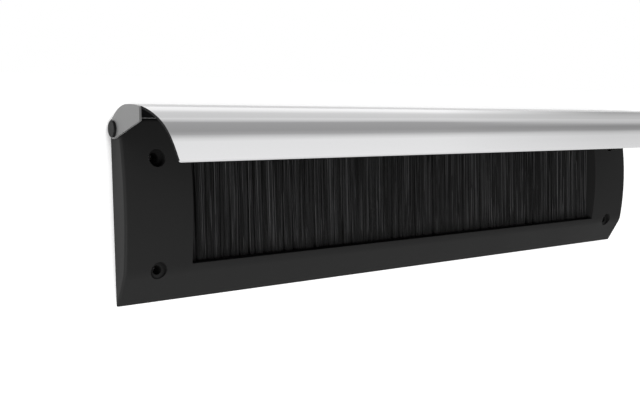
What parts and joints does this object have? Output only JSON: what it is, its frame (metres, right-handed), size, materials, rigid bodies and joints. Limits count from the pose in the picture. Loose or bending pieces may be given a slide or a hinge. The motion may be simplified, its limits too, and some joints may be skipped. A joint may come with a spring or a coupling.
{
  "type": "letter-plate brush draught excluder with hinged flap",
  "caption": "Black moulded frame with a bristle curtain across its letter opening and a curved polished metal flap hinged along its top edge.",
  "frame": {"origin": "centre of the letter opening, in the frame's back plane", "axes": "+X along the frame, +Y up the door, +Z out of the door"},
  "size_m": [0.3422, 0.083, 0.0632],
  "materials": {
    "black_moulding": "injection-moulded black plastic with a fine satin grain",
    "bristle_black": "fine black synthetic filaments",
    "galvanised_channel": "rolled galvanised strip",
    "pin_black": "turned pin, black, slightly glossy",
    "polished_flap": "brightly polished sheet",
    "satin_plate": "flat satin grey"
  },
  "bodies": {
    "frame": {"frame": "black_moulding", "brush_holder": "galvanised_channel", "brush_core_wire": "galvanised_channel", "brush_bristles": "bristle_black", "hinge_pin_left": "pin_black", "hinge_pin_right": "pin_black"},
    "flap": {"flap_sheet": "polished_flap", "flap_end_plate_left": "satin_plate", "flap_end_plate_right": "satin_plate"}
  },
  "joints": [
    {"name": "flap_hinge", "type": "hinge", "parent": "frame", "child": "flap", "pos_m": [0, 0.0347, 0.0055], "axis": [1, 0, 0], "range_deg": [0, 72.5]}
  ]
}
